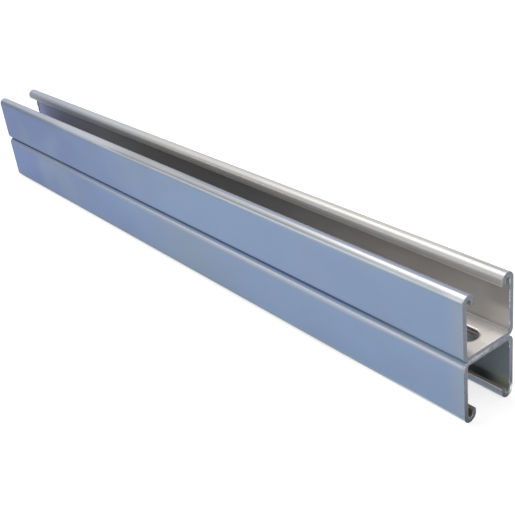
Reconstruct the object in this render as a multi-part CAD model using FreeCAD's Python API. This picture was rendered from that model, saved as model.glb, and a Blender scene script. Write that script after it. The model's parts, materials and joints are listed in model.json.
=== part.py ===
"""Back-to-back slotted strut channel: two roll-formed steel channels, spot welded web to web.

Each channel is one strip of galvanised sheet. The strip is punched with a row of slots, then rolled
into a square C whose two flanges end in lips that curl back down into the channel. Two of them
stand web to web, so one mouth faces up and the other faces down, and the slots of the two webs line up.
Along each side the rounded corners of the webs leave a shallow V groove.

Frame, in millimetres: X runs along the length, Y across the width, Z up. The origin is on the floor,
under the middle of the piece, which rests on the two lips of its lower channel.
"""

import FreeCAD
import Part
import math
import os

from FreeCAD import Vector

# One channel, as the roll-forming mill makes it
CHANNEL_WIDTH = 41.3          # across the outer faces of the flanges
CHANNEL_DEPTH = 41.3          # from the back of the web to the top of the lips
SHEET_THICKNESS = 2.7         # 12 gauge sheet, zinc coated
WEB_BEND_RADIUS = 1.8         # inside radius where a flange leaves the web
LIP_WIDTH = 9.5               # from the flange's outer face to the lip's inward face
LIP_DROP = 7.6                # from the top of the curl to the cut edge of the lip
LIP_EDGE_RADIUS = 0.5         # the slightly rounded corners of the strip's edge, at the end of a lip

# The stock piece and its row of slots
PIECE_LENGTH = 600.0
SLOT_LENGTH = 28.6            # end to end of its two round ends
SLOT_WIDTH = 14.3
SLOT_PITCH = 50.0
FIRST_SLOT_INSET = 23.3       # from the cut end at +X to the middle of the first slot
LEAST_END_LAND = 5.0          # the least sheet kept between the last slot and the cut end at -X

# The spot welds, one on each land between two slots
WELD_MARK_DIAMETER = 8.0
WELD_MARK_DEPTH = 0.3

WEB_PLANE_HEIGHT = CHANNEL_DEPTH    # the plane where the two webs meet
END_MARGIN = 5.0                    # how far a cutter runs past the sheet it cuts


def arc_between(start, end, centre, radius, bulge):
    """The arc from start to end about centre that passes through the side that bulge points to."""
    middle = centre + bulge.normalize().multiply(radius)
    return Part.Arc(start, middle, end).toShape()


def flange_and_lip():
    """The edges of one flange and its lip, in the YZ plane, from the back of the web round to its inside.

    The back of the web is at z = 0, the mouth faces +Z, and this flange is the one on the +Y side.
    """
    t = SHEET_THICKNESS
    outer_y = CHANNEL_WIDTH / 2
    top = CHANNEL_DEPTH
    bend_in = WEB_BEND_RADIUS
    bend_out = bend_in + t
    curl_out = LIP_WIDTH / 2
    curl_in = curl_out - t
    curl_z = top - curl_out
    curl_y = outer_y - curl_out
    lip_face = outer_y - LIP_WIDTH
    lip_end = top - LIP_DROP
    r = LIP_EDGE_RADIUS

    def p(y, z):
        return Vector(0, y, z)

    bend_centre = p(outer_y - bend_out, bend_out)
    curl_centre = p(curl_y, curl_z)
    edge_out = p(lip_face + r, lip_end + r)
    edge_in = p(lip_face + t - r, lip_end + r)
    return [
        arc_between(p(outer_y - bend_out, 0), p(outer_y, bend_out), bend_centre, bend_out, p(1, -1)),
        Part.makeLine(p(outer_y, bend_out), p(outer_y, curl_z)),
        arc_between(p(outer_y, curl_z), p(curl_y, top), curl_centre, curl_out, p(1, 1)),
        arc_between(p(curl_y, top), p(lip_face, curl_z), curl_centre, curl_out, p(-1, 1)),
        Part.makeLine(p(lip_face, curl_z), p(lip_face, lip_end + r)),
        arc_between(p(lip_face, lip_end + r), p(lip_face + r, lip_end), edge_out, r, p(-1, -1)),
        Part.makeLine(p(lip_face + r, lip_end), p(lip_face + t - r, lip_end)),
        arc_between(p(lip_face + t - r, lip_end), p(lip_face + t, lip_end + r), edge_in, r, p(1, -1)),
        Part.makeLine(p(lip_face + t, lip_end + r), p(lip_face + t, curl_z)),
        arc_between(p(lip_face + t, curl_z), p(curl_y, top - t), curl_centre, curl_in, p(-1, 1)),
        arc_between(p(curl_y, top - t), p(outer_y - t, curl_z), curl_centre, curl_in, p(1, 1)),
        Part.makeLine(p(outer_y - t, curl_z), p(outer_y - t, bend_out)),
        arc_between(p(outer_y - t, bend_out), p(outer_y - bend_out, t), bend_centre, bend_in, p(1, -1)),
    ]


def rolled_channel():
    """The channel before it is punched: the section's outline, made a face and drawn out to the length."""
    one_side = flange_and_lip()
    other_side = [edge.mirror(Vector(0, 0, 0), Vector(0, 1, 0)) for edge in one_side]
    flat_y = CHANNEL_WIDTH / 2 - WEB_BEND_RADIUS - SHEET_THICKNESS
    web_back = Part.makeLine(Vector(0, -flat_y, 0), Vector(0, flat_y, 0))
    web_inside = Part.makeLine(Vector(0, -flat_y, SHEET_THICKNESS), Vector(0, flat_y, SHEET_THICKNESS))
    outline = Part.Wire(Part.__sortEdges__([web_back, *one_side, web_inside, *other_side]))
    channel = Part.Face(outline).extrude(Vector(PIECE_LENGTH, 0, 0))
    channel.translate(Vector(-PIECE_LENGTH / 2, 0, 0))
    return channel


def slot_positions():
    """The x of each slot's middle, from the inset at the +X end, as many as the length holds."""
    first = PIECE_LENGTH / 2 - FIRST_SLOT_INSET
    last_allowed = -PIECE_LENGTH / 2 + LEAST_END_LAND + SLOT_LENGTH / 2
    count = math.floor((first - last_allowed) / SLOT_PITCH) + 1
    return [first - i * SLOT_PITCH for i in range(count)]


def slot_cutter(x):
    """An obround punch through the web, with its long side along the channel."""
    r = SLOT_WIDTH / 2
    straight = SLOT_LENGTH / 2 - r
    right = Vector(x + straight, 0, -END_MARGIN)
    left = Vector(x - straight, 0, -END_MARGIN)
    side = Vector(0, r, 0)
    outline = Part.Wire([
        Part.makeLine(left - side, right - side),
        arc_between(right - side, right + side, right, r, Vector(1, 0, 0)),
        Part.makeLine(right + side, left + side),
        arc_between(left + side, left - side, left, r, Vector(-1, 0, 0)),
    ])
    return Part.Face(outline).extrude(Vector(0, 0, SHEET_THICKNESS + 2 * END_MARGIN))


def weld_mark(x):
    """The shallow dish that the welding electrode presses into the inside of the web, as a plug to cut."""
    half = WELD_MARK_DIAMETER / 2
    radius = (half**2 + WELD_MARK_DEPTH**2) / (2 * WELD_MARK_DEPTH)
    rim = SHEET_THICKNESS
    floor = rim - WELD_MARK_DEPTH
    lean = math.asin(half / radius) / 2
    between = Vector(x + radius * math.sin(lean), 0, floor + radius * (1 - math.cos(lean)))
    profile = [
        Part.Arc(Vector(x, 0, floor), between, Vector(x + half, 0, rim)).toShape(),
        Part.makeLine(Vector(x + half, 0, rim), Vector(x + half, 0, rim + END_MARGIN)),
        Part.makeLine(Vector(x + half, 0, rim + END_MARGIN), Vector(x, 0, rim + END_MARGIN)),
        Part.makeLine(Vector(x, 0, rim + END_MARGIN), Vector(x, 0, floor)),
    ]
    return Part.Face(Part.Wire(profile)).revolve(Vector(x, 0, 0), Vector(0, 0, 1), 360)


def punched_channel():
    """A finished channel: rolled, slotted, and marked by the welds on each land between two slots."""
    slots = slot_positions()
    lands = [x - SLOT_PITCH / 2 for x in slots[:-1]]
    channel = rolled_channel()
    channel = channel.cut([slot_cutter(x) for x in slots])
    return channel.cut([weld_mark(x) for x in lands])


def main():
    upper = punched_channel()
    lower = upper.mirror(Vector(0, 0, 0), Vector(0, 0, 1))
    upper.translate(Vector(0, 0, WEB_PLANE_HEIGHT))
    lower.translate(Vector(0, 0, WEB_PLANE_HEIGHT))

    os.makedirs("parts", exist_ok=True)
    for name, shape in {"upper_channel": upper, "lower_channel": lower}.items():
        solid = shape.Solids[0]
        print(name, "solids", len(shape.Solids), "valid", shape.isValid(), "volume", round(solid.Volume, 1))
        solid.exportStep(f"parts/{name}.step")


main()
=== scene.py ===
"""A double strut channel of galvanised steel: two slotted C channels, welded back to back.

The script follows the work as the mill does it: a strip is punched, rolled into a C and cut off,
and two of them are welded web to web. The studio round the finished piece comes last.
All sizes are in metres. X runs along the length, Y across it, Z up, and the floor is at z = 0.
"""

import json
import math

import bpy
from mathutils import Matrix, Vector


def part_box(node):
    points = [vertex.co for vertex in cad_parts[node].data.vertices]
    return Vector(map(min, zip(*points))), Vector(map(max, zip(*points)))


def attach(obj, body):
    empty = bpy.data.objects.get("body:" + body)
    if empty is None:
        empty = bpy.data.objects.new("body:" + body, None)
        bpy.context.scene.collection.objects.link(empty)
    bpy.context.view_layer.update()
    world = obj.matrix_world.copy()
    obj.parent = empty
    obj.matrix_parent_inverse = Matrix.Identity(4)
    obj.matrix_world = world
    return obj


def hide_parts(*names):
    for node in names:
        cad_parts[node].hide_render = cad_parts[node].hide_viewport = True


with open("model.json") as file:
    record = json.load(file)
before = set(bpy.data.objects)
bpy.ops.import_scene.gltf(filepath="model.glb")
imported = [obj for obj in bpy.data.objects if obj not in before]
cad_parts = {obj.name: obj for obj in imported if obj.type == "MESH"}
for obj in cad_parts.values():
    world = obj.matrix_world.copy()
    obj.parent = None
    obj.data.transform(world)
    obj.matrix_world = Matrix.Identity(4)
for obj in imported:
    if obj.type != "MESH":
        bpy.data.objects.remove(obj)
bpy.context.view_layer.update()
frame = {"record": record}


# The strip for one channel.
# It is 2.7 mm sheet with a smooth zinc coat, punched flat with a row of round-ended slots, and then
# rolled through stands that turn up its two flanges and curl their edges back down into lips.

MM = 0.001

channel_low, channel_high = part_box("upper_channel")
PIECE_LENGTH = channel_high.x - channel_low.x
CHANNEL_WIDTH = channel_high.y - channel_low.y
CHANNEL_DEPTH = channel_high.z - channel_low.z
WEB_PLANE = channel_low.z

slot_pairs = [mount for mount in frame["record"]["mounts"] if mount["kind"] == "bolt_pattern"]
slot_sizes = slot_pairs[0]["dims"]
SLOT_PITCH = slot_sizes["spacing_x_mm"] * MM
SLOT_WIDTH = 2 * slot_sizes["hole_r_mm"] * MM
SLOT_LENGTH = slot_sizes["slot_length_mm"] * MM
SLOT_COUNT = 2 * len(slot_pairs)
LEFT_SLOT_X = min(mount["pos_m"][0] for mount in slot_pairs) - SLOT_PITCH / 2

SHEET_THICKNESS = 2.7 * MM
BEND_RADIUS = 4.5 * MM            # outside, where a flange leaves the web
LIP_WIDTH = 9.5 * MM
LIP_DROP = 7.6 * MM
WELD_MARK_WIDTH = 8.0 * MM
WELD_MARK_DEPTH = 0.3 * MM
SAWN_BACK = 0.2 * MM              # how far the sawn face lies behind the tips of its burr
EDGE_ROUNDING = 0.7 * MM          # at the edges that are rounded most

# how finely the strip is divided into rows across it and columns along it
BEND_STEPS = 6
CURL_STEPS = 8
WEB_ROWS = 20
HOLE_ROWS = 10
FLANGE_ROW = 7.0 * MM
SLOT_CELL_REACH = 17.0 * MM       # from a slot's middle to where its rings of faces end
SLOT_CELL_COLUMNS = 22
SLOT_HOLE_COLUMNS = 16
SLOT_STRAIGHT_SHARE = 0.375       # share of those columns on the slot's straight sides
WELD_CELL_COLUMNS = 14
WELD_HOLE_COLUMNS = 10
PITCH_COLUMNS = SLOT_CELL_COLUMNS + WELD_CELL_COLUMNS
END_COLUMNS = 5
NO_WELD = 1.0                     # how far off a slot's cell sets its weld, which it doesn't have

# what counts as level with the web's back, as one place, and as on a cut or a slot's wall
LEVEL = 0.001 * MM
SAME_PLACE = 0.01 * MM
ON_FACE = 0.1 * MM

# the kinds of face that the sheet has, kept on it by the name of sheet_face
OUTSIDE = 0.0
INSIDE = 1.0
SAWN = 2.0
PUNCHED = 3.0
SLIT = 4.0


class Field:
    """A number that varies over a mesh. Arithmetic on it adds Math nodes to its tree."""

    def __init__(self, tree, socket):
        self.tree = tree
        self.socket = socket

    def math(self, operation, *others):
        node = self.tree.nodes.new("ShaderNodeMath")
        node.operation = operation
        for place, value in enumerate((self, *others)):
            feed(self.tree, node.inputs[place], value)
        return Field(self.tree, node.outputs[0])

    def __add__(self, other):
        return self.math("ADD", other)

    def __sub__(self, other):
        return self.math("SUBTRACT", other)

    def __rsub__(self, other):
        return (self * -1.0) + other

    def __mul__(self, other):
        return self.math("MULTIPLY", other)

    def __truediv__(self, other):
        return self.math("DIVIDE", other)

    def __lt__(self, other):
        return self.math("LESS_THAN", other)

    def __gt__(self, other):
        return self.math("GREATER_THAN", other)

    def __abs__(self):
        return self.math("ABSOLUTE")

    def limited(self, low, high):
        return self.math("MAXIMUM", low).math("MINIMUM", high)

    def then(self, when_true, when_false):
        """One of two values, chosen by this field, which is 0 or 1."""
        return self * (when_true - when_false) + when_false


def feed(tree, socket, value):
    """Gives a socket its value: another node's output, a field, or something plain."""
    if isinstance(value, Field):
        value = value.socket
    if isinstance(value, bpy.types.NodeSocket):
        tree.links.new(value, socket)
    else:
        socket.default_value = value


def add(tree, kind, feeds=None, **settings):
    """A new node with its settings, and with its inputs fed by name or number."""
    node = tree.nodes.new(kind)
    for name, value in settings.items():
        setattr(node, name, value)
    for name, value in (feeds or {}).items():
        feed(tree, node.inputs[name], value)
    return node


def vector(tree, x, y, z):
    return add(tree, "ShaderNodeCombineXYZ", {0: x, 1: y, 2: z}).outputs[0]


def parts_of(tree, socket):
    """The x, y and z of a vector socket, as fields."""
    split = add(tree, "ShaderNodeSeparateXYZ", {0: socket})
    return [Field(tree, output) for output in split.outputs]


def position(tree):
    return add(tree, "GeometryNodeInputPosition").outputs[0]


def keep(tree, mesh, name, value, domain="POINT", kind="FLOAT"):
    """The mesh, with a value kept on it by name."""
    feeds = {"Geometry": mesh, "Name": name, "Value": value}
    return add(tree, "GeometryNodeStoreNamedAttribute", feeds, data_type=kind, domain=domain).outputs[0]


def kept(tree, name, kind="FLOAT"):
    """A value that was kept on the mesh by name."""
    node = add(tree, "GeometryNodeInputNamedAttribute", {"Name": name}, data_type=kind)
    return Field(tree, node.outputs[0]) if kind == "FLOAT" else node.outputs[0]


def scaled(tree, direction, length):
    feeds = {0: direction, "Scale": length}
    return add(tree, "ShaderNodeVectorMath", feeds, operation="SCALE").outputs[0]


def inward_from(tree, tangent):
    """The direction into the sheet, from the section's direction there."""
    feeds = {0: (1.0, 0.0, 0.0), 1: tangent}
    return add(tree, "ShaderNodeVectorMath", feeds, operation="CROSS_PRODUCT").outputs[0]


def new_tree(name, product, names):
    """A Geometry Nodes tree for one product, with its input node and a field for each of its sizes."""
    tree = bpy.data.node_groups.new(name, "GeometryNodeTree")
    tree.interface.new_socket(product, in_out="OUTPUT", socket_type="NodeSocketGeometry")
    for size_name in names:
        tree.interface.new_socket(size_name, in_out="INPUT", socket_type="NodeSocketFloat")
    tree.interface.new_socket("Finish", in_out="INPUT", socket_type="NodeSocketMaterial")
    source = tree.nodes.new("NodeGroupInput")
    return tree, source, {size_name: Field(tree, source.outputs[size_name]) for size_name in names}


def hand_out(tree, source, size, mesh):
    """Turns a mesh over if asked, lifts it to where the webs meet, and makes it the tree's product."""
    half_turn = vector(tree, size["Turned Over"] * math.pi, 0.0, 0.0)
    feeds = {
        "Geometry": mesh,
        "Translation": vector(tree, 0.0, 0.0, size["Web Plane"]),
        "Rotation": add(tree, "FunctionNodeEulerToRotation", {0: half_turn}).outputs[0],
    }
    placed = add(tree, "GeometryNodeTransform", feeds).outputs[0]
    smooth = add(tree, "GeometryNodeSetShadeSmooth", {"Geometry": placed}).outputs[0]
    real = add(tree, "GeometryNodeRealizeInstances", {"Geometry": smooth}).outputs[0]
    feeds = {"Geometry": real, "Material": source.outputs["Finish"]}
    finished = add(tree, "GeometryNodeSetMaterial", feeds).outputs[0]
    tree.links.new(finished, tree.nodes.new("NodeGroupOutput").inputs[0])


def section_of_sheet(tree, size):
    """The curve of the sheet's outer face across the strip, from the edge of one lip to the other's."""
    # its eight corners: step is 3.5 at a lip's edge, 2.5 and 1.5 over the lip, and 0.5 at the web
    half_width = size["Width"] / 2.0
    index = Field(tree, add(tree, "GeometryNodeInputIndex").outputs[0])
    side = (index > 3.5) * 2.0 - 1.0
    step = abs(index - 3.5)
    y = side * (step > 2.0).then(half_width - size["Lip Width"], half_width)
    z = (step > 3.0).then(size["Depth"] - size["Lip Drop"], size["Depth"]) * (step > 1.0)
    line = add(tree, "GeometryNodeMeshLine", {"Count": 8})
    feeds = {"Geometry": line.outputs[0], "Position": vector(tree, 0.0, y, z)}
    corners = add(tree, "GeometryNodeSetPosition", feeds)
    path = add(tree, "GeometryNodeMeshToCurve", {"Mesh": corners.outputs[0]})

    # the corners made round, and those that then lie in one place merged
    at_web = step < 1.0
    feeds = {
        "Curve": path.outputs[0],
        "Count": at_web.then(BEND_STEPS - 1, CURL_STEPS - 1),
        "Radius": at_web.then(size["Bend Radius"], size["Lip Width"] / 2.0),
        "Limit Radius": True,
    }
    rounded = add(tree, "GeometryNodeFilletCurve", feeds, mode="POLY")
    rounded = add(tree, "GeometryNodeCurveToMesh", {"Curve": rounded.outputs[0]})
    feeds = {"Geometry": rounded.outputs[0], "Distance": SAME_PLACE}
    single = add(tree, "GeometryNodeMergeByDistance", feeds)
    rounded = add(tree, "GeometryNodeMeshToCurve", {"Mesh": single.outputs[0]})

    # the web and the flanges cut into rows
    here = parts_of(tree, position(tree))
    feeds = {"Value": position(tree), "Index": index + 1.0}
    next_point = add(tree, "GeometryNodeFieldAtIndex", feeds, data_type="FLOAT_VECTOR")
    onward = parts_of(tree, next_point.outputs[0])
    run = abs(onward[1] - here[1]) + abs(onward[2] - here[2])
    over_web = (abs(here[2]) + abs(onward[2]) < LEVEL) * (run > half_width)
    cuts = over_web.then(WEB_ROWS - 1.0, (run / FLANGE_ROW).math("FLOOR"))
    return add(tree, "GeometryNodeSubdivideCurve", {"Curve": rounded.outputs[0], "Cuts": cuts}).outputs[0]


def ringed_cell(tree, across, up, reach, flat, hole_across, hole_up, straight, radius, straight_share):
    """Where a point of a flat cell goes, so that its faces lie in rings round a slot or a round mark.

    across and up run from -1 to 1 over the cell. The middle part of them, hole_across and hole_up,
    becomes the round-ended shape, and the rest spreads from its edge to the cell's own edge.
    """
    outside = ((abs(across) - hole_across) / (1.0 - hole_across)).math(
        "MAXIMUM", (abs(up) - hole_up) / (1.0 - hole_up)
    )
    ring = outside.math("MAXIMUM", 0.0)
    inner = (abs(across) / hole_across).math("MAXIMUM", abs(up) / hole_up).limited(1e-4, 1.0)
    a = across / (ring * (1.0 - hole_across) + hole_across) / inner
    b = up / (ring * (1.0 - hole_up) + hole_up) / inner

    eighth_turn = math.pi / 4
    end_turn = b * eighth_turn
    end_x = a.math("SIGN") * (straight + radius * end_turn.math("COSINE"))
    end_y = radius * end_turn.math("SINE")
    side_turn = ((abs(a) - straight_share) / (1.0 - straight_share)).math("MAXIMUM", 0.0) * eighth_turn
    along = (abs(a) / straight_share).math("MINIMUM", 1.0) * straight
    side_x = a.math("SIGN") * (along + radius * side_turn.math("SINE"))
    side_y = b.math("SIGN") * radius * side_turn.math("COSINE")
    on_end = abs(a) > abs(b) - 1e-4
    edge_x = on_end.then(end_x, side_x) * inner
    edge_y = on_end.then(end_y, side_y) * inner
    x = edge_x + (a * reach - edge_x) * ring
    y = edge_y + (b * flat - edge_y) * ring
    return x, y


def numbered_blank(tree, size, section):
    """The flat blank, its last column, and the section's y and z at each of its rows.

    It is a grid that is numbered by column along the strip and by row across it. Each row also keeps
    its place across the strip and the direction that is inward once it is rolled.
    """
    domain = add(tree, "GeometryNodeAttributeDomainSize", {"Geometry": section}, component="CURVE")
    last_row = Field(tree, domain.outputs["Point Count"]) - 1.0
    last_column = size["Slot Count"] * PITCH_COLUMNS - WELD_CELL_COLUMNS + 2.0 * END_COLUMNS
    feeds = {
        "Size X": last_column,
        "Size Y": last_row,
        "Vertices X": last_column + 1.0,
        "Vertices Y": last_row + 1.0,
    }
    blank = add(tree, "GeometryNodeMeshGrid", feeds).outputs[0]
    place = parts_of(tree, position(tree))
    blank = keep(tree, blank, "column", (place[0] + last_column / 2.0).math("ROUND"))
    blank = keep(tree, blank, "row", (place[1] + last_row / 2.0).math("ROUND"))
    row = kept(tree, "row")

    def at_row(value, kind="FLOAT_VECTOR"):
        feeds = {"Geometry": section, "Value": value, "Index": row}
        return add(tree, "GeometryNodeSampleIndex", feeds, data_type=kind, domain="POINT").outputs[0]

    section_y, section_z = parts_of(tree, at_row(position(tree)))[1:]
    inward = inward_from(tree, at_row(add(tree, "GeometryNodeInputTangent").outputs[0]))
    blank = keep(tree, blank, "inward", inward, kind="FLOAT_VECTOR")
    along_section = add(tree, "GeometryNodeSplineParameter").outputs["Length"]
    strip_width = add(tree, "GeometryNodeCurveLength", {"Curve": section}).outputs[0]
    from_middle = Field(tree, at_row(along_section, "FLOAT")) - Field(tree, strip_width) / 2.0
    blank = keep(tree, blank, "across_strip", from_middle)
    return blank, last_column, section_y, section_z


def laid_out(tree, size, last_column, section_y, section_z):
    """Where each point of the blank goes, along the strip and over it, and the marks that later steps need.

    Every pitch has a cell round its slot and a cell round the weld on the land beside it. Past the
    first and last cells the columns run on to the saw cuts.
    """
    column = kept(tree, "column")
    left_share = (END_COLUMNS - column).math("MAXIMUM", 0.0) / END_COLUMNS
    right_share = (column - last_column + END_COLUMNS).math("MAXIMUM", 0.0) / END_COLUMNS
    from_first = column - END_COLUMNS
    pitch = (from_first / PITCH_COLUMNS).math("FLOOR").limited(0.0, size["Slot Count"] - 1.0)
    in_pitch = from_first - pitch * PITCH_COLUMNS
    at_slot = (in_pitch < SLOT_CELL_COLUMNS + 0.5).math("MAXIMUM", right_share > 0.01)
    slot_across = in_pitch * (2.0 / SLOT_CELL_COLUMNS) - 1.0
    weld_across = (in_pitch - SLOT_CELL_COLUMNS) * (2.0 / WELD_CELL_COLUMNS) - 1.0
    across = at_slot.then(slot_across, weld_across).limited(-1.0, 1.0)
    slot_middle = size["Left Slot"] + pitch * size["Slot Pitch"]
    middle = at_slot.then(slot_middle, slot_middle + size["Slot Pitch"] / 2.0)
    reach = at_slot.then(SLOT_CELL_REACH, size["Slot Pitch"] / 2.0 - SLOT_CELL_REACH)

    flat = size["Width"] / 2.0 - size["Bend Radius"]
    up = section_y / flat
    in_web = (abs(section_z) < LEVEL) * (abs(up) < 1.0001)
    slot_radius = size["Slot Width"] / 2.0
    slot_share = SLOT_HOLE_COLUMNS / SLOT_CELL_COLUMNS
    weld_share = WELD_HOLE_COLUMNS / WELD_CELL_COLUMNS
    ring_x, ring_y = ringed_cell(
        tree, across, up, reach, flat,
        hole_across=at_slot.then(slot_share, weld_share),
        hole_up=HOLE_ROWS / WEB_ROWS,
        straight=at_slot.then(size["Slot Length"] / 2.0 - slot_radius, 0.0),
        radius=at_slot.then(slot_radius, size["Weld Mark Width"] / 2.0),
        straight_share=at_slot.then(SLOT_STRAIGHT_SHARE, 1e-4),
    )

    to_left_cut = size["Length"] / 2.0 + size["Left Slot"] - SLOT_CELL_REACH
    last_slot = size["Left Slot"] + (size["Slot Count"] - 1.0) * size["Slot Pitch"]
    to_right_cut = size["Length"] / 2.0 - last_slot - SLOT_CELL_REACH
    end_shift = right_share * to_right_cut - left_share * to_left_cut
    in_cell = in_web * (left_share < 0.01) * (right_share < 0.01)
    x = in_cell.then(middle + ring_x, middle + across * reach) + end_shift
    y = in_cell.then(ring_y, section_y)
    marks = {
        "hole_across": abs(slot_across) * (SLOT_CELL_COLUMNS / SLOT_HOLE_COLUMNS),
        "hole_up": up * (WEB_ROWS / HOLE_ROWS),
        "in_cell": in_cell,
        "weld_middle": middle + at_slot * NO_WELD,
    }
    return vector(tree, x, y, section_z), marks


def punched_and_rolled(tree, blank, places, marks):
    """The blank without its slots, with its flanges and lips rolled up. It is the channel's outer face."""
    for name, value in marks.items():
        blank = keep(tree, blank, name, value)
    in_hole = (kept(tree, "hole_across") < 1.0) * (abs(kept(tree, "hole_up")) < 1.0)
    feeds = {"Geometry": blank, "Selection": in_hole * (kept(tree, "in_cell") > 0.99)}
    punched = add(tree, "GeometryNodeDeleteGeometry", feeds, domain="FACE").outputs[0]
    return add(tree, "GeometryNodeSetPosition", {"Geometry": punched, "Position": places}).outputs[0]


def thickened(tree, size, outer):
    """The sheet: its outer face, a copy of that moved inwards, and walls at cuts, slots and lip edges."""
    feeds = {"Mesh": outer, "Offset Scale": 0.0, "Individual": False}
    raised = add(tree, "GeometryNodeExtrudeMesh", feeds, mode="FACES")
    here = parts_of(tree, position(tree))
    along = here[0] - kept(tree, "weld_middle")
    mark_radius = size["Weld Mark Width"] / 2.0
    radii_squared = (along * along + here[1] * here[1]) / (mark_radius * mark_radius)
    in_mark = (1.0 - radii_squared).math("MAXIMUM", 0.0)
    dish = in_mark * size["Weld Mark Depth"] * (abs(here[2]) < SAME_PLACE)
    offset = scaled(tree, kept(tree, "inward", "FLOAT_VECTOR"), size["Thickness"] - dish)
    feeds = {"Geometry": raised.outputs["Mesh"], "Selection": raised.outputs["Top"], "Offset": offset}
    inner = add(tree, "GeometryNodeSetPosition", feeds).outputs[0]
    normal = parts_of(tree, add(tree, "GeometryNodeInputNormal").outputs[0])
    at_cut = abs(normal[0]) * (abs(here[0]) > size["Length"] / 2.0 - ON_FACE) > 0.7
    in_row = abs(here[1]) < size["Slot Width"] / 2.0 + ON_FACE
    at_slot = (abs(here[2]) < size["Thickness"]) * in_row
    wall = at_cut.then(SAWN, at_slot.then(PUNCHED, SLIT))
    kind = Field(tree, raised.outputs["Top"]) * INSIDE + Field(tree, raised.outputs["Side"]) * wall
    inner = keep(tree, inner, "sheet_face", kind, domain="FACE")
    inner = keep(tree, inner, "into_sheet", raised.outputs["Top"])
    outer = add(tree, "GeometryNodeFlipFaces", {"Mesh": outer}).outputs[0]
    outer = keep(tree, outer, "sheet_face", OUTSIDE, domain="FACE")
    outer = keep(tree, outer, "into_sheet", 0.0)
    both = add(tree, "GeometryNodeJoinGeometry")
    tree.links.new(inner, both.inputs[0])
    tree.links.new(outer, both.inputs[0])
    feeds = {"Geometry": both.outputs[0], "Distance": SAME_PLACE}
    return add(tree, "GeometryNodeMergeByDistance", feeds).outputs[0]


def marked_for_rounding(tree, size, sheet):
    """The sheet with a weight on each sharp edge: most where the punch went in, least at the saw cuts."""
    sharp = Field(tree, add(tree, "GeometryNodeInputMeshEdgeAngle").outputs[0]) > 1.0
    here = parts_of(tree, position(tree))
    on_cut = abs(here[0]) > size["Length"] / 2.0 - ON_FACE
    on_web = abs(here[2]) < size["Thickness"] + ON_FACE
    punched_side = abs(here[2]) > size["Thickness"] / 2.0

    # shares of the full rounding at the cuts, at the slots inside and outside, and at the lips' edges
    weight = sharp * on_cut.then(0.2, on_web.then(punched_side.then(1.0, 0.45), 0.7))
    return keep(tree, sheet, "bevel_weight_edge", weight, domain="EDGE")


def strip_tree():
    """The Geometry Nodes tree that punches a blank, rolls it into a channel and gives it its thickness."""
    names = ("Length", "Width", "Depth", "Thickness", "Bend Radius", "Lip Width", "Lip Drop",
             "Slot Length", "Slot Width", "Slot Pitch", "Slot Count", "Left Slot",
             "Weld Mark Width", "Weld Mark Depth", "Web Plane", "Turned Over")
    tree, source, size = new_tree("punched_and_rolled_channel", "Channel", names)
    section = section_of_sheet(tree, size)
    blank, last_column, section_y, section_z = numbered_blank(tree, size, section)
    places, marks = laid_out(tree, size, last_column, section_y, section_z)
    outer = punched_and_rolled(tree, blank, places, marks)
    sheet = marked_for_rounding(tree, size, thickened(tree, size, outer))
    hand_out(tree, source, size, sheet)
    return tree


def sockets_of(tree):
    """The identifier of each of a tree's inputs, by its name."""
    return {item.name: item.identifier for item in tree.interface.items_tree if item.in_out == "INPUT"}


def made_by(tree, name, own_values, rounded=False):
    """A plain mesh that a tree makes from the channel's sizes, with its marked edges rounded if asked."""
    piece = bpy.data.objects.new(name, bpy.data.meshes.new(name))
    bpy.context.scene.collection.objects.link(piece)
    modifier = piece.modifiers.new("making", "NODES")
    modifier.node_group = tree
    values = {
        "Length": PIECE_LENGTH,
        "Width": CHANNEL_WIDTH,
        "Depth": CHANNEL_DEPTH,
        "Thickness": SHEET_THICKNESS,
        "Bend Radius": BEND_RADIUS,
        "Lip Width": LIP_WIDTH,
        "Lip Drop": LIP_DROP,
        "Web Plane": WEB_PLANE,
        **own_values,
    }
    sockets = sockets_of(tree)
    for socket_name, value in values.items():
        modifier[sockets[socket_name]] = value
    if rounded:
        rounding = piece.modifiers.new("rounded edges", "BEVEL")
        rounding.limit_method = "WEIGHT"
        rounding.width = EDGE_ROUNDING
        rounding.segments = 2
        rounding.use_clamp_overlap = False
    view = bpy.context.evaluated_depsgraph_get()
    view.update()
    piece.data = bpy.data.meshes.new_from_object(piece.evaluated_get(view))
    piece.modifiers.clear()
    return piece


def rolled_channel(name, turned_over, finish):
    """One channel, punched, rolled and cut off."""
    own_values = {
        "Length": PIECE_LENGTH - 2 * SAWN_BACK,
        "Slot Length": SLOT_LENGTH,
        "Slot Width": SLOT_WIDTH,
        "Slot Pitch": SLOT_PITCH,
        "Slot Count": float(SLOT_COUNT),
        "Left Slot": LEFT_SLOT_X,
        "Weld Mark Width": WELD_MARK_WIDTH,
        "Weld Mark Depth": WELD_MARK_DEPTH,
        "Turned Over": turned_over,
        "Finish": finish,
    }
    return made_by(rolling, name, own_values, rounded=True)


# the zinc coat, with light and shade painted into it: blue on the outside, a blue zinc tint and a painted
# reflection; violet towards the -X end, painted shade; pale on the lips, painted highlight; and painted
# light and shade inside
FLANK_VIOLET = (0.130, 0.180, 0.335, 1.0)
FLANK_BLUE = (0.209, 0.282, 0.418, 1.0)
FLANK_GREY = (0.215, 0.272, 0.355, 1.0)
BEND_GREY = (0.213, 0.243, 0.295, 1.0)
BEND_DIM = (0.180, 0.215, 0.300, 1.0)
BEND_BRIGHT = (0.335, 0.365, 0.415, 1.0)
CUT_PALE = (0.40, 0.47, 0.52, 1.0)
CUT_GREY = (0.245, 0.295, 0.380, 1.0)
FRINGE_GREY = (0.202, 0.240, 0.260, 1.0)
LIP_BLUE_GREY = (0.44, 0.47, 0.55, 1.0)
LIP_PALE = (0.58, 0.57, 0.555, 1.0)
LIP_COOL = (0.565, 0.575, 0.60, 1.0)
LIP_VIOLET = (0.32, 0.345, 0.43, 1.0)
LOWER_LIP_GREY = (0.31, 0.345, 0.40, 1.0)
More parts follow.
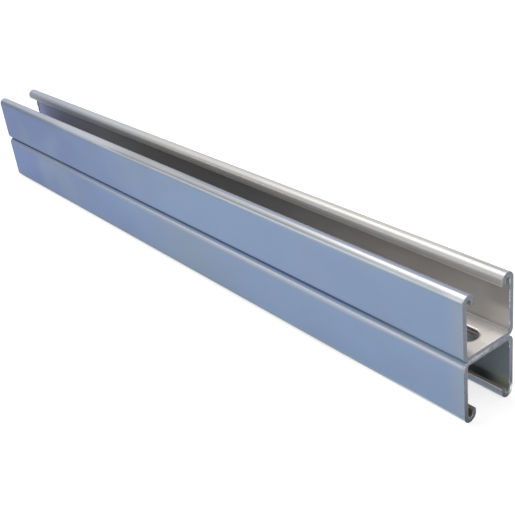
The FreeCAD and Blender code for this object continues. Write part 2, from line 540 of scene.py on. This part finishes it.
LOWER_LIP_PALE = (0.85, 0.87, 0.88, 1.0)
FAR_LIP_BLUE = (0.50, 0.575, 0.70, 1.0)
PAINTED_DARK_BAND = (0.225, 0.230, 0.240, 1.0)
INSIDE_BLUE = (0.175, 0.20, 0.345, 1.0)
INSIDE_GREY = (0.43, 0.435, 0.455, 1.0)
INSIDE_MID_SHADE = (0.36, 0.355, 0.36, 1.0)
INSIDE_WARM = (0.62, 0.60, 0.585, 1.0)
WEB_WARM = (0.96, 0.92, 0.87, 1.0)
LOWER_INSIDE_GREY = (0.80, 0.77, 0.76, 1.0)
LOWER_INSIDE_DARK = (0.24, 0.29, 0.33, 1.0)
LOWER_INSIDE_OLIVE = (0.46, 0.47, 0.38, 1.0)
WELD_TINT = (0.20, 0.17, 0.15, 1.0)
SAWN_STEEL = (0.175, 0.190, 0.225, 1.0)
DRAGGED_STEEL = (0.46, 0.46, 0.47, 1.0)
SHEARED_STEEL = (0.58, 0.53, 0.505, 1.0)
TORN_STEEL = (0.56, 0.51, 0.49, 1.0)
SLIT_STEEL = (0.25, 0.235, 0.22, 1.0)
# white for the painted highlights on edges, rims and curls
PAINTED_HIGHLIGHT = (0.90, 0.90, 0.89, 1.0)


def attribute(tree, name):
    return Field(tree, add(tree, "ShaderNodeAttribute", attribute_name=name).outputs["Fac"])


def noise(tree, place, size_of_patch, detail):
    """A noise from 0 to 1 whose patches are about as large as the size given."""
    feeds = {"Vector": place, "Scale": 1.0 / size_of_patch, "Detail": detail}
    return Field(tree, add(tree, "ShaderNodeTexNoise", feeds).outputs["Fac"])


def ramp(tree, value, low, high):
    """Where a value stands between two others, from 0 to 1, with soft ends."""
    feeds = {"Value": value, "From Min": low, "From Max": high}
    node = add(tree, "ShaderNodeMapRange", feeds, interpolation_type="SMOOTHSTEP")
    return Field(tree, node.outputs["Result"])


def band(tree, value, middle, half_width):
    """1 in the middle of a soft line and 0 from half its width away."""
    return 1.0 - ramp(tree, abs(value - middle), 0.0, half_width)


def mixed(tree, share, first, second):
    node = add(tree, "ShaderNodeMix", data_type="RGBA")
    feed(tree, node.inputs["Factor"], share)
    feed(tree, node.inputs["A"], first)
    feed(tree, node.inputs["B"], second)
    return node.outputs["Result"]


def dimmed(tree, share, colour):
    """A colour multiplied by a share, which may be over 1."""
    node = add(tree, "ShaderNodeMix", data_type="RGBA", clamp_factor=False)
    feed(tree, node.inputs["Factor"], share)
    feed(tree, node.inputs["A"], (0.0, 0.0, 0.0, 1.0))
    feed(tree, node.inputs["B"], colour)
    return node.outputs["Result"]


def new_finish(name):
    """A material and its tree, still empty."""
    material = bpy.data.materials.new(name)
    material.use_nodes = True
    material.node_tree.nodes.clear()
    return material, material.node_tree


class SheetPlace:
    """Where a point of the finish lies on its channel, and how uneven the zinc is there.

    from_middle is in millimetres of sheet, from the middle of the web: its flat runs to 16.2, the bend
    to 23.2, the flange to 55.3, the curl of the lip to 70.2 and the face of the lip to 73.0.
    """

    def __init__(self, tree):
        self.spot = add(tree, "ShaderNodeTexCoord").outputs["Object"]
        self.x, self.y, self.z = parts_of(tree, self.spot)
        self.across = attribute(tree, "across_strip")
        self.from_middle = abs(self.across) * (1.0 / MM)
        self.into_sheet = attribute(tree, "into_sheet")   # 0 at its outer face, 1 at its inner face
        self.face = attribute(tree, "sheet_face")
        self.outside = self.face < INSIDE - 0.5
        self.inside = (self.face > INSIDE - 0.5) * (self.face < INSIDE + 0.5)
        self.below = self.z < WEB_PLANE
        self.near_lip = (self.y < 0.0) * (1.0 - self.below)       # the near side of the upper channel

        # clouds and speckle in the coat, the fine lines of the rolls, and the marks of the saw
        on_strip = vector(tree, self.x * 0.55, self.across, self.face * 0.1)
        self.clouds = noise(tree, on_strip, 0.035, 3.0)
        self.speckle = noise(tree, self.spot, 0.0025, 2.0)
        self.lines = noise(tree, vector(tree, self.x * 6.0, self.across * 1600.0, self.face), 1.0, 2.0)
        sawn_along = (self.y * 0.5 + self.z) * 900.0
        sawn_over = (self.y - self.z * 0.5) * 40.0
        self.sawing = noise(tree, vector(tree, self.x, sawn_along, sawn_over), 1.0, 2.0)

        # how far the nearest weld and slot are, where each whole pitch is the middle of a slot
        pitches = (self.x - LEFT_SLOT_X) / SLOT_PITCH
        along = (pitches - pitches.math("FLOOR") - 0.5) * SLOT_PITCH
        self.from_weld = (along * along + self.y * self.y).math("SQRT")
        along = abs(pitches - pitches.math("ROUND")) * SLOT_PITCH
        along = (along - (SLOT_LENGTH - SLOT_WIDTH) / 2.0).math("MAXIMUM", 0.0)
        self.from_slot = (along * along + self.y * self.y).math("SQRT") - SLOT_WIDTH / 2.0
        self.on_web = self.from_middle < 14.0
        # a painted highlight on the rim round each slot
        self.slot_rim_highlight = (1.0 - ramp(tree, self.from_slot, 0.4 * MM, 1.1 * MM)) * self.on_web

        # painted highlights on less metallic zinc: a bright line along the edges of the lips, and the backs
        # of the webs, which show as a light line between the webs in each slot
        lip_edge = ramp(tree, self.from_middle, 72.2, 72.5)
        self.painted_edge_highlight = lip_edge.math("MAXIMUM", self.on_web * self.outside)


def flank_tone(tree, at):
    """The outside of flanks and bends: blue, a zinc tint and a painted reflection, violet towards the -X
    end in painted shade, grey in patches, and painted light and shade on the bends, by the +X cut and next
    to the lips.
    """
    x, from_middle, below = at.x, at.from_middle, at.below
    patches = noise(tree, vector(tree, x * 0.6, at.across, 0.4), 0.06, 2.0)
    # painted shade: violet and darker towards the -X end, blue towards the +X cut
    toward_cut = ramp(tree, x + (at.clouds - 0.5) * 0.12, -0.26, 0.05)
    tone = mixed(tree, toward_cut, FLANK_VIOLET, FLANK_BLUE)
    # painted light: the lower flank a little lighter towards the -X end
    tone = dimmed(tree, below * (1.0 - toward_cut) * 0.12 + 1.0, tone)
    grey_share = ramp(tree, patches, 0.52, 0.75).math("MAXIMUM", band(tree, x, 0.03, 0.10) * below)
    tone = mixed(tree, grey_share * 0.7, tone, FLANK_GREY)
    # painted reflection on the lower channel's upper bend: greyer on its shoulder, then a painted highlight
    # along it that is dimmer towards the -X end
    shoulder = ramp(tree, from_middle, 17.8, 19.4) * (1.0 - ramp(tree, from_middle, 21.5, 24.0)) * below
    tone = mixed(tree, shoulder * 0.7, tone, BEND_GREY)
    bend_tone = mixed(tree, ramp(tree, x, -0.26, 0.17), BEND_DIM, BEND_BRIGHT)
    from_bend = from_middle + ramp(tree, x, 0.20, 0.28) * 1.1
    on_bend = ramp(tree, from_bend, 20.2, 22.0) * ramp(tree, 25.0 - from_bend, 0.0, 2.5) * below
    tone = mixed(tree, on_bend, tone, bend_tone)
    # painted light: paler and greyer close to the +X cut
    by_the_cut = ramp(tree, x, 0.19, 0.30) * ramp(tree, 22.5 - from_middle - below * 3.0, 0.0, 2.0)
    tone = mixed(tree, by_the_cut * 0.8, tone, CUT_PALE)
    cut_grey = ramp(tree, x, 0.286, 0.299) * (1.0 - on_bend) * ramp(tree, from_middle, 20.5, 23.0)
    tone = mixed(tree, cut_grey, tone, CUT_GREY)
    # painted shade: a darker grey band where the flank turns into the lip
    fringe = dimmed(tree, toward_cut * 0.32 + band(tree, x, 0.19, 0.14) * 0.3 + 0.68, FRINGE_GREY)
    fringe_edge = from_middle + below * ramp(tree, x, 0.24, 0.28) * 0.7
    tone = mixed(tree, ramp(tree, fringe_edge, 54.4, 56.2) * 0.6, tone, fringe)
    return dimmed(tree, at.clouds * 0.16 + at.speckle * 0.06 + 0.89, tone)


def lip_tone(tree, at):
    """The lips, pale with painted highlight: blue-grey towards the -X end in painted shade, lighter near
    the +X cut, with a painted highlight on the far lower curl and a line of painted shade on the far upper
    crest.
    """
    x, y, from_middle, below = at.x, at.y, at.from_middle, at.below
    tone = mixed(tree, at.near_lip, LIP_PALE, LIP_COOL)
    # painted shade: blue-grey towards the -X end
    tone = mixed(tree, ramp(tree, x, -0.3, 0.0), LIP_BLUE_GREY, tone)
    # painted highlight: the near lower lip paler towards the +X cut
    lower_lip = mixed(tree, ramp(tree, x, 0.16, 0.29), LOWER_LIP_GREY, LOWER_LIP_PALE)
    # painted highlight on the outer curl of the far lower lip, dimmer near the +X cut
    far_lip = mixed(tree, ramp(tree, from_middle, 65.5, 67.5), PAINTED_HIGHLIGHT, FAR_LIP_BLUE)
    far_lip = dimmed(tree, 1.1 - ramp(tree, x, 0.268, 0.300) * 0.5, far_lip)
    lower_lip = mixed(tree, y > 0.0, lower_lip, far_lip)
    tone = mixed(tree, below, tone, lower_lip)
    # painted highlight: the near upper lip lighter near the +X cut
    tone = dimmed(tree, at.near_lip * ramp(tree, x, 0.280, 0.294) * 0.20 + 1.0, tone)
    # painted shade: a darker line along the far upper crest near the +X cut
    crest_line = band(tree, from_middle, 63.0, 1.1) * ramp(tree, x, 0.25, 0.28)
    crest_line = crest_line * (y > 0.0) * (1.0 - below)
    tone = dimmed(tree, 1.0 - crest_line * 0.3, tone)
    return dimmed(tree, at.clouds * 0.12 + at.lines * 0.10 + 0.89, tone)


def outside_coat(tree, at):
    """The zinc outside: flanks, lips, a painted dark band and painted shade where the lips turn, painted
    shade on the upper lips' faces, a painted violet reflection on the near upper crest, and painted
    highlights on the lips' edges and the webs' backs.
    """
    x, from_middle, below, near_lip = at.x, at.from_middle, at.below, at.near_lip
    # where the pale painted highlight of the lips begins: higher towards the -X end, lower near the +X cut
    spread = below * (at.y < 0.0) * ramp(tree, x, 0.18, 0.27) * 1.1
    spread = spread + near_lip * ramp(tree, x, 0.282, 0.294) * 0.3
    higher = ramp(tree, x, -0.28, -0.09) * 1.4 + spread + 0.4
    on_lip = ramp(tree, from_middle + higher + at.clouds - 0.5, 58.0, 61.0)
    coat = mixed(tree, on_lip, flank_tone(tree, at), lip_tone(tree, at))
    # painted shade: a dark reflected band along the turn of the lip, fading towards the +X cut
    shade_band = band(tree, from_middle, 58.3, 1.9) * ramp(tree, x, -0.11, -0.04)
    coat = mixed(tree, shade_band * (0.85 - ramp(tree, x, 0.14, 0.28) * 0.6), coat, PAINTED_DARK_BAND)
    # painted shade on the near upper lip, just above that band
    near_lip_shade = ramp(tree, from_middle, 59.0, 60.0) * ramp(tree, x, -0.12, -0.02)
    near_lip_shade = near_lip * near_lip_shade * (1.0 - ramp(tree, x, 0.14, 0.26)) * 0.28
    # painted shade on the faces of the upper channel's lips, less near the +X cut
    lip_face = ramp(tree, from_middle, 65.5, 67.8) * (1.0 - ramp(tree, from_middle, 69.3, 70.5) * 0.45)
    lip_face = lip_face * (1.0 - below) * (0.42 - ramp(tree, x, 0.12, 0.28) * 0.20)
    lip_face = lip_face * (1.0 - ramp(tree, from_middle, 68.0, 69.0) * ramp(tree, x, 0.06, 0.24) * 0.9)
    coat = dimmed(tree, 1.0 - near_lip_shade - lip_face, coat)
    # painted reflection: violet-grey on the near upper crest towards the +X end
    crest = near_lip * ramp(tree, from_middle, 60.8, 62.2) * ramp(tree, x, 0.0, 0.07)
    coat = mixed(tree, crest, coat, LIP_VIOLET)
    # painted highlights on the lips' edges and the webs' backs
    return mixed(tree, at.painted_edge_highlight, coat, PAINTED_HIGHLIGHT)


def inside_coat(tree, at):
    """The zinc inside, with light and shade painted into it, a painted highlight round each slot and a heat
    tint round each spot weld.
    """
    x, z, from_middle, below = at.x, at.z, at.from_middle, at.below
    # painted shade: blue and darker towards the -X end, and painted light right at that cut
    left_blue = (1.0 - ramp(tree, x, -0.29, -0.17)) * (ramp(tree, from_middle, 15.0, 21.0) * 0.65 + 0.35)
    inside_tone = mixed(tree, left_blue, INSIDE_GREY, INSIDE_BLUE)
    inside_tone = dimmed(tree, 1.35 - ramp(tree, x, -0.300, -0.272) * 0.35, inside_tone)
    # painted shade: grey in the middle of the length
    inside_tone = mixed(tree, ramp(tree, x, -0.16, -0.06), inside_tone, INSIDE_MID_SHADE)
    # painted light: pale and warm towards the +X cut, where light comes in, palest on the web
    warm = mixed(tree, ramp(tree, from_middle, 9.0, 15.0), WEB_WARM, INSIDE_WARM)
    inside_tone = mixed(tree, ramp(tree, x, 0.02, 0.26), inside_tone, warm)
    # painted shade: the lower channel dark near the +X cut, olive near the floor, pale grey elsewhere
    olive = (1.0 - ramp(tree, z, 0.007, 0.016)) * ramp(tree, x, 0.280, 0.297)
    lower_end = mixed(tree, olive, LOWER_INSIDE_DARK, LOWER_INSIDE_OLIVE)
    end_share = ramp(tree, x, 0.262, 0.280) * ramp(tree, from_middle, 15.0, 21.0)
    lower_inside_tone = mixed(tree, end_share, LOWER_INSIDE_GREY, lower_end)
    inside_tone = mixed(tree, below, inside_tone, lower_inside_tone)
    # painted shade in the curls and at the upper wall's foot, and on the far upper wall near the +X cut
    # painted light low down and painted shade high up
    wall_end = ramp(tree, x, 0.279, 0.293) * (at.y > 0.0)
    in_curl = ramp(tree, from_middle + below * 5.5, 54.5, 57.5) * (1.0 - wall_end * below * 0.9)
    in_curl = in_curl * (1.0 - at.near_lip * ramp(tree, x, 0.286, 0.296) * 0.5)
    foot = ramp(tree, from_middle, 16.2, 17.5) * (1.0 - ramp(tree, from_middle, 21.5, 24.0))
    foot = foot * ramp(tree, x, 0.20, 0.27) * (1.0 - below) * 0.24
    wall_light = wall_end * (1.0 - below) * (0.10 - ramp(tree, z, 0.0555, 0.0615) * 0.32)
    inside_tone = dimmed(tree, 1.0 - in_curl * 0.62 - foot + wall_light, inside_tone)
    inside_tone = dimmed(tree, at.clouds * 0.14 + at.speckle * 0.10 + 0.88, inside_tone)
    # painted highlight round each slot
    inside_tone = mixed(tree, at.slot_rim_highlight * 0.85, inside_tone, PAINTED_HIGHLIGHT)
    heated = band(tree, at.from_weld, 4.8 * MM, 3.0 * MM) * at.on_web * (abs(x) < 0.27)
    return mixed(tree, heated * 0.45, inside_tone, WELD_TINT)


def sawn_tone(tree, at):
    """The sawn faces, darker towards the bottom, with a painted highlight on the far lower curl and steel
    dragged bright over the joint, the near lower bend and the inner edge.
    """
    y, z, from_middle, into_sheet = at.y, at.z, at.from_middle, at.into_sheet
    rough_edge = noise(tree, at.spot, 0.0012, 2.0)
    streaks = noise(tree, at.spot, 0.004, 2.0)
    tone = dimmed(tree, at.sawing * 0.5 + at.speckle * 0.3 + 0.6, SAWN_STEEL)
    # darker towards the bottom
    tone = dimmed(tree, ramp(tree, z, -0.008, 0.032) * 0.5 + 0.5, tone)
    # painted highlight on the far lower curl near the +X end
    painted_glint = (y > 0.0167) * (at.x > 0.0) * band(tree, z + (rough_edge - 0.5) * 0.003, 0.0044, 0.0046)
    tone = mixed(tree, painted_glint * 0.9, tone, PAINTED_HIGHLIGHT)
    joint = band(tree, z - WEB_PLANE, -0.0003, 0.0021) * (1.0 - ramp(tree, y, -0.002, 0.010) * 0.85)
    tone = mixed(tree, joint * ramp(tree, streaks, 0.36, 0.62) * 0.8, tone, DRAGGED_STEEL)
    near_bend = (1.0 - ramp(tree, into_sheet, 0.1, 0.5)) * band(tree, from_middle, 19.5, 6.0)
    near_bend = near_bend * at.below * (y < 0.0)
    tone = mixed(tree, near_bend * ramp(tree, streaks, 0.30, 0.60) * 0.9, tone, DRAGGED_STEEL)
    dragged = ramp(tree, into_sheet + rough_edge * 0.45, 0.98, 1.14) * (1.0 - at.near_lip * 0.6)
    dragged = dragged * ramp(tree, from_middle, 17.0, 21.0) * (1.0 - ramp(tree, from_middle, 53.0, 56.0))
    return mixed(tree, dragged * 0.3, tone, DRAGGED_STEEL)


def sheared_tone(tree, at):
    """The slots' walls, half sheared and half torn between painted highlights along both edges, and the
    slit edges of the lips.
    """
    marks = noise(tree, vector(tree, (at.x + at.y) * 900.0, at.into_sheet, at.face), 1.0, 1.0)
    tone = mixed(tree, ramp(tree, at.into_sheet, 0.25, 0.5), SHEARED_STEEL, TORN_STEEL)
    tone = dimmed(tree, marks * 0.8 + 0.6, tone)
    # painted highlights along both edges of each wall
    inner_edge = ramp(tree, at.into_sheet, 0.80, 0.88)
    outer_edge = 1.0 - ramp(tree, at.into_sheet, 0.05, 0.13)
    tone = mixed(tree, inner_edge.math("MAXIMUM", outer_edge), tone, PAINTED_HIGHLIGHT)
    return mixed(tree, at.face > SLIT - 0.5, tone, SLIT_STEEL)


def zinc_finish():
    """The zinc on the sheet, and the steel laid bare where it was punched, slit and sawn."""
    material, tree = new_finish("zinc_on_rolled_steel")
    at = SheetPlace(tree)
    zinc = mixed(tree, at.inside, outside_coat(tree, at), inside_coat(tree, at))
    bare = mixed(tree, at.face > PUNCHED - 0.5, sawn_tone(tree, at), sheared_tone(tree, at))
    cut = at.face > SAWN - 0.5

    lip_back = ramp(tree, at.from_middle, 67.5, 70.0) * at.outside
    sheltered = at.inside.math("MAXIMUM", lip_back) * (1.0 - at.slot_rim_highlight)
    upper_web = (at.from_middle < 16.0) * (1.0 - at.below)
    dull_inside = at.inside * (at.below * ramp(tree, at.x, 0.255, 0.270) + upper_web)
    dull_share = (dull_inside * 0.25 + sheltered * 0.45).math("MAXIMUM", at.painted_edge_highlight * 0.8)

    # the fine lines and saw marks in the surface, and the sheet's turn down into each slot
    height = at.lines * 0.6 + at.speckle * 0.5 + cut * at.sawing * 2.0
    bump = add(tree, "ShaderNodeBump", {"Height": height, "Distance": 0.02 * MM, "Strength": 0.4})
    rollover = ramp(tree, at.from_slot, 0.5 * MM, 1.6 * MM).math("MAXIMUM", 1.0 - at.inside)
    feeds = {"Height": rollover, "Distance": 0.35 * MM, "Normal": bump.outputs[0]}
    bump = add(tree, "ShaderNodeBump", feeds)

    feeds = {
        "Base Color": mixed(tree, cut, zinc, bare),
        "Metallic": 1.0 - dull_share,
        "Roughness": at.clouds * 0.10 + at.speckle * 0.08 + at.lines * 0.06 + 0.24 + sheltered * 0.22,
        "Specular Tint": (0.75, 0.77, 0.80, 1.0),
        "Normal": bump.outputs[0],
    }
    shader = add(tree, "ShaderNodeBsdfPrincipled", feeds)
    add(tree, "ShaderNodeOutputMaterial", {"Surface": shader.outputs[0]})
    return material


rolling = strip_tree()
zinc = zinc_finish()

upper_channel = rolled_channel("upper_channel_rolled", 0.0, zinc)
lower_channel = rolled_channel("lower_channel_rolled", 1.0, zinc)
for channel, node in ((upper_channel, "upper_channel"), (lower_channel, "lower_channel")):
    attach(channel, "root")
    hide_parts(node)


# The burr that the saw leaves at both cut ends of each channel.
# It is bare steel, dragged over the inner edge of the flanges as an uneven lip with a bright rim, with
# brighter crumbs of it along the near half of the joint, where the webs of the two channels meet.

BURR_STEP = 0.5 * MM
BURR_FLATNESS = 0.4               # its thickness along the channel, as a share of its width
BURR_GRAIN = 260.0                # the scale of the noise that makes it uneven
BEAD_CORE = 0.01 * MM             # what is left of a bead where it doesn't show
BEAD_SUNK = 0.03 * MM             # the least that a bead's middle lies behind the sawn face

SWARF_GREY = (0.28, 0.29, 0.32, 1.0)
TORN_BRIGHT = (0.68, 0.68, 0.68, 1.0)


def burr_tree():
    """The Geometry Nodes tree that draws an uneven flat bead along the edges of both cuts."""
    names = ("Length", "Width", "Depth", "Thickness", "Bend Radius", "Lip Width", "Lip Drop",
             "Web Plane", "Turned Over", "Seed")
    tree, source, size = new_tree("saw_burr", "Burr", names)
    section = section_of_sheet(tree, size)
    steps = add(tree, "GeometryNodeResampleCurve", {"Curve": section, "Length": BURR_STEP}, mode="LENGTH")
    inward = inward_from(tree, add(tree, "GeometryNodeInputTangent").outputs[0])
    round_bead = add(tree, "GeometryNodeCurvePrimitiveCircle", {"Resolution": 8, "Radius": 1.0})
    beads = add(tree, "GeometryNodeJoinGeometry")

    def bead(edge, depth, side, least, widest, sparse, where, bare, seed):
        """One bead, at a depth in the sheet and at one of the cuts, as wide as an uneven noise makes it."""
        feeds = {"Geometry": edge, "Offset": scaled(tree, inward, depth)}
        moved = add(tree, "GeometryNodeSetPosition", feeds)
        feeds = {"Vector": position(tree), "W": size["Seed"] + seed, "Scale": BURR_GRAIN, "Detail": 3.0}
        uneven = Field(tree, add(tree, "ShaderNodeTexNoise", feeds, noise_dimensions="4D").outputs["Fac"])
        grown = ((uneven - sparse) * 8.0).limited(0.0, 1.0)
        radius = (grown * grown * (widest - least) + least) * kept(tree, where) + BEAD_CORE
        feeds = {
            "Curve": moved.outputs[0],
            "Profile Curve": round_bead.outputs[0],
            "Scale": radius,
            "Fill Caps": True,
        }
        tube = add(tree, "GeometryNodeCurveToMesh", feeds).outputs[0]
        set_back = max((widest + BEAD_CORE) * BURR_FLATNESS, SAWN_BACK + BEAD_SUNK)
        cut_x = (size["Length"] / 2.0 - set_back) * side
        x, y, z = parts_of(tree, position(tree))
        feeds = {"Geometry": tube, "Position": vector(tree, x * BURR_FLATNESS + cut_x, y, z)}
        placed = add(tree, "GeometryNodeSetPosition", feeds).outputs[0]
        tree.links.new(keep(tree, placed, "bare", bare), beads.inputs[0])

    # where each bead shows, marked on the edge before it is moved into the sheet
    across, height = parts_of(tree, position(tree))[1:]
    turned = size["Turned Over"]
    far_side = across * (1.0 - turned * 2.0) > 0.0
    off_web = height > 0.5 * MM
    on_curl = height > size["Depth"] - size["Lip Width"] / 2.0
    marks = {
        "off_web": off_web,
        "rim": far_side.math("MAXIMUM", on_curl * turned) * off_web,
        "rim_sparse": turned * (0.03 - on_curl * 0.08) + 0.46,
        "shoulder": (height < 6.0 * MM) * (1.0 - far_side) * (abs(across) > 12.0 * MM) * turned,
        "near_half": 1.0 - far_side,
    }
    edge = steps.outputs[0]
    for name, value in marks.items():
        edge = keep(tree, edge, name, value)
    rim_sparse = kept(tree, "rim_sparse")
    feeds = {"Geometry": edge, "Selection": abs(height) > LEVEL}
    web_back = add(tree, "GeometryNodeDeleteGeometry", feeds, domain="POINT").outputs[0]

    # each bead's edge, depth, side, least and widest radius, sparseness, place, bareness and seed
    inner = size["Thickness"]
    for end, side in enumerate((1.0, -1.0)):
        seed = 10.0 * end
        bead(edge, inner - 0.15 * MM, side, 0.50 * MM, 0.72 * MM, 0.46, "off_web", 0.0, seed)
        bead(edge, inner + 0.40 * MM, side, 0.02 * MM, 0.34 * MM, rim_sparse, "rim", 1.0, seed + 2.0)
        bead(edge, 0.30 * MM, side, 0.02 * MM, 0.30 * MM, 0.42, "shoulder", 1.0, seed + 3.0)
        bead(web_back, 0.45 * MM, side, 0.02 * MM, 0.46 * MM, 0.52, "near_half", 1.0, seed + 5.0)

    hand_out(tree, source, size, beads.outputs[0])
    return tree


def burr_finish():
    """Bare steel, torn bright by the saw, with darker specks of swarf."""
    material, tree = new_finish("dragged_steel")
    place = add(tree, "ShaderNodeTexCoord").outputs["Object"]
    height = parts_of(tree, place)[2]
    specks = noise(tree, place, 0.0015, 3.0)
    bright = mixed(tree, ramp(tree, specks, 0.40, 0.60), SWARF_GREY, TORN_BRIGHT)
    # darker towards the bottom
    plain = dimmed(tree, ramp(tree, height, -0.008, 0.032) * 0.5 + 0.5, SAWN_STEEL)
    plain = dimmed(tree, specks * 0.4 + 0.85, plain)
    colour = mixed(tree, attribute(tree, "bare"), plain, bright)
    feeds = {"Base Color": colour, "Metallic": 1.0, "Roughness": specks * 0.3 + 0.2}
    shader = add(tree, "ShaderNodeBsdfPrincipled", feeds)
    add(tree, "ShaderNodeOutputMaterial", {"Surface": shader.outputs[0]})
    return material


dragging = burr_tree()
bare_steel = burr_finish()
for name, turned_over, seed in (("upper_channel_saw_burr", 0.0, 1.0), ("lower_channel_saw_burr", 1.0, 2.0)):
    burr = made_by(dragging, name, {"Turned Over": turned_over, "Seed": seed, "Finish": bare_steel})
    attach(burr, "root")


# The studio.
# A white floor that runs out of sight, under soft lamps, with the camera above the piece's right end.

def seen_rays(tree, mirrored=1.0):
    """1 for a ray that shows the background, straight on or through glass, and 0 otherwise.

    A ray that shows it mirrored in the piece counts for as much as mirrored says.
    """
    path = add(tree, "ShaderNodeLightPath")
    seen = Field(tree, path.outputs["Is Camera Ray"])
    seen = seen.math("MAXIMUM", Field(tree, path.outputs["Is Glossy Ray"]) * mirrored)
    return seen.math("MAXIMUM", path.outputs["Is Transmission Ray"])


def floor_finish():
    """White paint that also glows where it is seen; as the piece mirrors it, the glow is weaker under and
    close beside the piece, a painted shadow.
    """
    material, tree = new_finish("white_floor")
    glow = add(tree, "ShaderNodeEmission", {"Color": (1.0, 1.0, 1.0, 1.0), "Strength": 0.55})
    paint = add(tree, "ShaderNodeBsdfDiffuse", {"Color": (0.8, 0.8, 0.8, 1.0)})
    both = add(tree, "ShaderNodeAddShader", {0: glow.outputs[0], 1: paint.outputs[0]})
    x, y = parts_of(tree, add(tree, "ShaderNodeTexCoord").outputs["Object"])[:2]
    # painted shadow: the glow that the piece mirrors fades under and close beside it
    beside = ((abs(x) - PIECE_LENGTH / 2.0) * 0.2).math("MAXIMUM", abs(y) - CHANNEL_WIDTH / 2.0)
    seen = seen_rays(tree, ramp(tree, beside, -0.006, 0.0) * 0.75 + 0.25)
    shown = add(tree, "ShaderNodeMixShader", {0: seen, 1: paint.outputs[0], 2: both.outputs[0]})
    add(tree, "ShaderNodeOutputMaterial", {"Surface": shown.outputs[0]})
    return material


floor_mesh = bpy.data.meshes.new("floor")
reach = 6.0
corners = [(-reach, -reach, 0.0), (reach, -reach, 0.0), (reach, reach, 0.0), (-reach, reach, 0.0)]
floor_mesh.from_pydata(corners, [], [(0, 1, 2, 3)])
floor_mesh.materials.append(floor_finish())
floor = bpy.data.objects.new("floor", floor_mesh)
bpy.context.scene.collection.objects.link(floor)

# the room is white where it is seen, and dimmer as a light
world = bpy.data.worlds.new("white_room")
world.use_nodes = True
room = world.node_tree
room.nodes.clear()
strength = seen_rays(room).then(1.0, 0.55)
light = add(room, "ShaderNodeBackground", {"Color": (1.0, 1.0, 1.0, 1.0), "Strength": strength})
add(room, "ShaderNodeOutputWorld", {"Surface": light.outputs[0]})
bpy.context.scene.world = world


def softbox(name, place, target, width, height, brightness, colour):
    """A rectangular lamp whose face has the given brightness, where 1 is white."""
    lamp = bpy.data.lights.new(name, "AREA")
    lamp.shape = "RECTANGLE"
    lamp.size = width
    lamp.size_y = height
    lamp.energy = brightness * math.pi * width * height
    lamp.color = colour
    stand = bpy.data.objects.new(name, lamp)
    stand.location = place
    stand.rotation_euler = (Vector(target) - Vector(place)).to_track_quat("-Z", "Y").to_euler()
    bpy.context.scene.collection.objects.link(stand)


softbox(
    "overhead", place=(-0.33, -0.08, 1.1), target=(-0.33, -0.08, 0.0),
    width=1.05, height=0.7, brightness=1.7, colour=(1.0, 0.98, 0.955),
)
softbox(
    "low_front_left", place=(-0.95, -1.15, 0.28), target=(0.1, 0.0, 0.05),
    width=1.0, height=0.4, brightness=1.8, colour=(1.0, 1.0, 1.0),
)
softbox(
    "past_the_right_end", place=(1.3, -0.35, 0.75), target=(0.28, 0.0, 0.04),
    width=0.7, height=0.5, brightness=2.6, colour=(1.0, 0.97, 0.93),
)

camera = bpy.data.cameras.new("camera")
camera.sensor_width = 36.0
camera.lens = 62.45
stand = bpy.data.objects.new("camera", camera)
side = Vector((0.60881, 0.78355, -0.12413))
above = Vector((-0.30057, 0.37263, 0.87795))
back = Vector((0.73417, -0.49720, 0.46237))
place = Vector((0.56641, -0.32341, 0.32668))
stand.matrix_world = Matrix((
    (side.x, above.x, back.x, place.x),
    (side.y, above.y, back.y, place.y),
    (side.z, above.z, back.z, place.z),
    (0.0, 0.0, 0.0, 1.0),
))
bpy.context.scene.collection.objects.link(stand)
bpy.context.scene.camera = stand
bpy.context.scene.view_settings.view_transform = "Standard"
